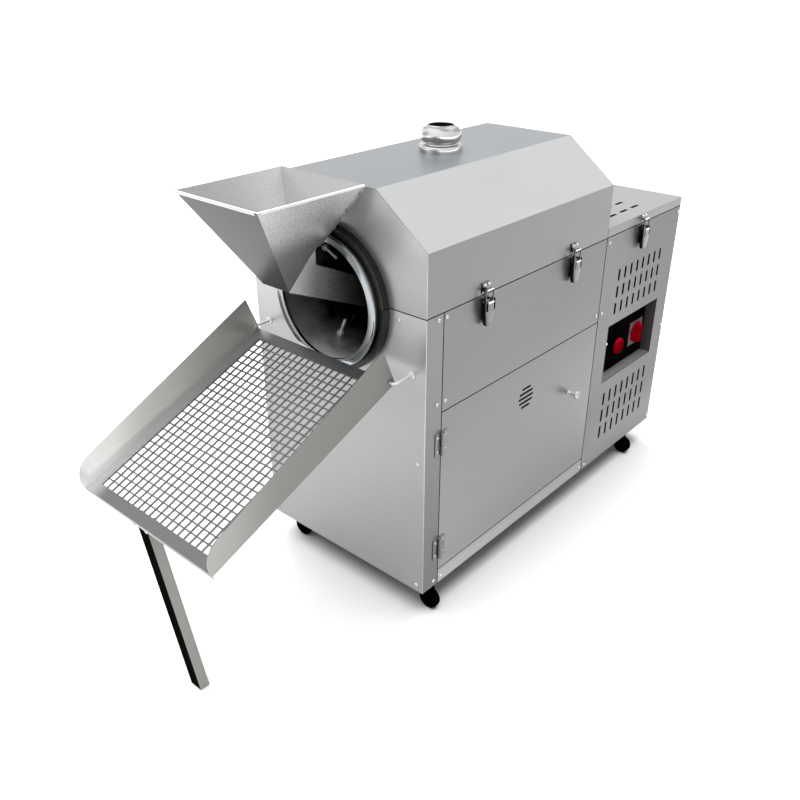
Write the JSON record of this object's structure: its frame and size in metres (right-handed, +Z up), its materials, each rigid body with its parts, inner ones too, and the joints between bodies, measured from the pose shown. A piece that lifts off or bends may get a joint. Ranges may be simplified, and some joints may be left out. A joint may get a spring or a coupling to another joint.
{
  "type": "drum grain roaster",
  "caption": "Sheet-steel drum roaster for nuts and grain on castors, with a feed hopper, lift-up hood, flue, control section and a sloping sieve tray on a folding leg.",
  "frame": {"origin": "centre of the bounding box's base, on the floor", "axes": "+Z up, -Y the drum mouth and tray, +X the side with the door, latches and controls"},
  "size_m": [0.558, 1.5988, 1.0245],
  "materials": {
    "panel_steel": "fine brushed, bare",
    "frame_steel": "mill finish, bare",
    "tray_steel": "dull brushed, bare",
    "hopper_steel": "satin, bare",
    "bright_steel": "polished",
    "hinge_steel": "satin",
    "dark_steel": "heat-blackened satin",
    "machine_steel": "turned, oiled",
    "cast_iron": "as cast",
    "motor_paint": "satin enamel",
    "black_plate": "matt black",
    "pale_fittings": "satin grey",
    "red_plastic": "gloss red",
    "castor_black": "satin black",
    "wheel_rubber": "smooth black"
  },
  "bodies": {
    "cabinet": {"base_frame": "frame_steel", "front_panel": "panel_steel", "left_panel": "panel_steel", "rear_panel": "panel_steel", "upper_side_panel": "panel_steel", "control_side_panel": "panel_steel", "bulkhead": "frame_steel", "furnace_floor": "frame_steel", "burner": "cast_iron", "lower_collar": "dark_steel", "control_plate": "black_plate", "control_fittings": "pale_fittings", "latch_bases": "bright_steel", "fixed_hinges": "hinge_steel", "rear_bearing": "cast_iron", "roller_brackets": "frame_steel", "gearmotor": "motor_paint", "drive_chain": "machine_steel", "cable_gland": "black_plate", "tray_hooks": "bright_steel", "panel_screws": "bright_steel"},
    "drum": {"drum_shell": "dark_steel", "drum_rim": "bright_steel", "drum_vanes": "dark_steel", "drum_studs": "bright_steel", "drum_shaft": "machine_steel", "drum_sprocket": "machine_steel"},
    "hood": {"hood_shell": "panel_steel", "chimney": "bright_steel", "upper_collar": "dark_steel", "hood_hinges": "hinge_steel", "hood_keepers": "bright_steel"},
    "side_door": {"side_door": "panel_steel", "door_hinges": "hinge_steel", "door_knob": "bright_steel"},
    "hopper": {"hopper": "hopper_steel", "feed_chute": "hopper_steel"},
    "tray": {"tray_pan": "tray_steel", "sieve_mesh": "tray_steel"},
    "motor_sprocket": {"motor_sprocket": "machine_steel"},
    "left_roller": {"left_roller": "machine_steel"},
    "right_roller": {"right_roller": "machine_steel"},
    "control_cover": {"control_cover": "panel_steel"},
    "front_latch_lever": {"front_latch_lever": "bright_steel"},
    "front_latch_bail": {"front_latch_bail": "bright_steel"},
    "middle_latch_lever": {"middle_latch_lever": "bright_steel"},
    "middle_latch_bail": {"middle_latch_bail": "bright_steel"},
    "rear_latch_lever": {"rear_latch_lever": "bright_steel"},
    "rear_latch_bail": {"rear_latch_bail": "bright_steel"},
    "leg": {"leg": "tray_steel"},
    "stop_button": {"stop_button": "red_plastic"},
    "rotary_switch": {"rotary_switch": "red_plastic"},
    "front_left_fork": {"front_left_fork": "castor_black"},
    "front_left_wheel": {"front_left_wheel": "wheel_rubber"},
    "front_right_fork": {"front_right_fork": "castor_black"},
    "front_right_wheel": {"front_right_wheel": "wheel_rubber"},
    "rear_left_fork": {"rear_left_fork": "castor_black"},
    "rear_left_wheel": {"rear_left_wheel": "wheel_rubber"},
    "rear_right_fork": {"rear_right_fork": "castor_black"},
    "rear_right_wheel": {"rear_right_wheel": "wheel_rubber"}
  },
  "joints": [
    {"name": "drum_spin", "type": "hinge", "parent": "cabinet", "child": "drum", "pos_m": [0.001, 0.01438, 0.722], "axis": [0, 1, 0], "continuous": true},
    {"name": "motor_spin", "type": "hinge", "parent": "cabinet", "child": "motor_sprocket", "pos_m": [0.001, 0.44938, 0.199], "axis": [0, 1, 0], "continuous": true},
    {"name": "left_roller_spin", "type": "hinge", "parent": "cabinet", "child": "left_roller", "pos_m": [-0.09037, -0.24162, 0.59151], "axis": [0, 1, 0], "continuous": true},
    {"name": "right_roller_spin", "type": "hinge", "parent": "cabinet", "child": "right_roller", "pos_m": [0.09237, -0.24162, 0.59151], "axis": [0, 1, 0], "continuous": true},
    {"name": "hood_lift", "type": "hinge", "parent": "cabinet", "child": "hood", "pos_m": [-0.254, 0.05438, 0.7375], "axis": [0, -1, 0], "range_deg": [0, 95]},
    {"name": "cover_lift", "type": "hinge", "parent": "cabinet", "child": "control_cover", "pos_m": [-0.254, 0.59438, 0.7375], "axis": [0, -1, 0], "range_deg": [0, 95]},
    {"name": "door_swing", "type": "hinge", "parent": "cabinet", "child": "side_door", "pos_m": [0.256, -0.23312, 0.318], "axis": [0, 0, -1], "range_deg": [0, 110]},
    {"name": "front_latch_throw", "type": "hinge", "parent": "cabinet", "child": "front_latch_lever", "pos_m": [0.259, -0.10162, 0.726], "axis": [0, -1, 0], "range_deg": [0, 120]},
    {"name": "front_bail_swing", "type": "hinge", "parent": "front_latch_lever", "child": "front_latch_bail", "pos_m": [0.2636, -0.10162, 0.716], "axis": [0, -1, 0], "range_deg": [-120, 0]},
    {"name": "middle_latch_throw", "type": "hinge", "parent": "cabinet", "child": "middle_latch_lever", "pos_m": [0.259, 0.23838, 0.726], "axis": [0, -1, 0], "range_deg": [0, 120]},
    {"name": "middle_bail_swing", "type": "hinge", "parent": "middle_latch_lever", "child": "middle_latch_bail", "pos_m": [0.2636, 0.23838, 0.716], "axis": [0, -1, 0], "range_deg": [-120, 0]},
    {"name": "rear_latch_throw", "type": "hinge", "parent": "cabinet", "child": "rear_latch_lever", "pos_m": [0.259, 0.57638, 0.726], "axis": [0, -1, 0], "range_deg": [0, 120]},
    {"name": "rear_bail_swing", "type": "hinge", "parent": "rear_latch_lever", "child": "rear_latch_bail", "pos_m": [0.2636, 0.57638, 0.716], "axis": [0, -1, 0], "range_deg": [-120, 0]},
    {"name": "hopper_pull", "type": "slide", "parent": "cabinet", "child": "hopper", "axis": [0, -1, 0], "range_m": [0, 0.3]},
    {"name": "tray_lift", "type": "hinge", "parent": "cabinet", "child": "tray", "pos_m": [0.001, -0.33952, 0.6097], "axis": [-1, 0, 0], "range_deg": [0, 40]},
    {"name": "leg_fold", "type": "hinge", "parent": "tray", "child": "leg", "pos_m": [-0.026, -0.76619, 0.40877], "axis": [1, 0, 0], "range_deg": [0, 90]},
    {"name": "stop_press", "type": "slide", "parent": "cabinet", "child": "stop_button", "axis": [-1, 0, 0], "range_m": [0, 0.004], "stiffness_N_per_m": 400},
    {"name": "switch_turn", "type": "hinge", "parent": "cabinet", "child": "rotary_switch", "pos_m": [0.221, 0.68638, 0.391], "axis": [1, 0, 0], "range_deg": [0, 90]},
    {"name": "front_left_swivel", "type": "hinge", "parent": "cabinet", "child": "front_left_fork", "pos_m": [-0.211, -0.24162, 0.07], "axis": [0, 0, 1], "continuous": true},
    {"name": "front_left_roll", "type": "hinge", "parent": "front_left_fork", "child": "front_left_wheel", "pos_m": [-0.187, -0.24162, 0.025], "axis": [0, 1, 0], "continuous": true},
    {"name": "rear_left_swivel", "type": "hinge", "parent": "cabinet", "child": "rear_left_fork", "pos_m": [-0.211, 0.67738, 0.07], "axis": [0, 0, 1], "continuous": true},
    {"name": "rear_left_roll", "type": "hinge", "parent": "rear_left_fork", "child": "rear_left_wheel", "pos_m": [-0.187, 0.67738, 0.025], "axis": [0, 1, 0], "continuous": true},
    {"name": "front_right_swivel", "type": "hinge", "parent": "cabinet", "child": "front_right_fork", "pos_m": [0.213, -0.24162, 0.07], "axis": [0, 0, 1], "continuous": true},
    {"name": "front_right_roll", "type": "hinge", "parent": "front_right_fork", "child": "front_right_wheel", "pos_m": [0.237, -0.24162, 0.025], "axis": [0, 1, 0], "continuous": true},
    {"name": "rear_right_swivel", "type": "hinge", "parent": "cabinet", "child": "rear_right_fork", "pos_m": [0.213, 0.67738, 0.07], "axis": [0, 0, 1], "continuous": true},
    {"name": "rear_right_roll", "type": "hinge", "parent": "rear_right_fork", "child": "rear_right_wheel", "pos_m": [0.237, 0.67738, 0.025], "axis": [0, 1, 0], "continuous": true}
  ],
  "couplings": [
    {"joint": "motor_spin", "follows": "drum_spin", "ratio": 1.5},
    {"joint": "left_roller_spin", "follows": "drum_spin", "ratio": -6.95},
    {"joint": "right_roller_spin", "follows": "drum_spin", "ratio": -6.95},
    {"joint": "front_bail_swing", "follows": "front_latch_throw", "ratio": -1},
    {"joint": "middle_bail_swing", "follows": "middle_latch_throw", "ratio": -1},
    {"joint": "rear_bail_swing", "follows": "rear_latch_throw", "ratio": -1}
  ]
}
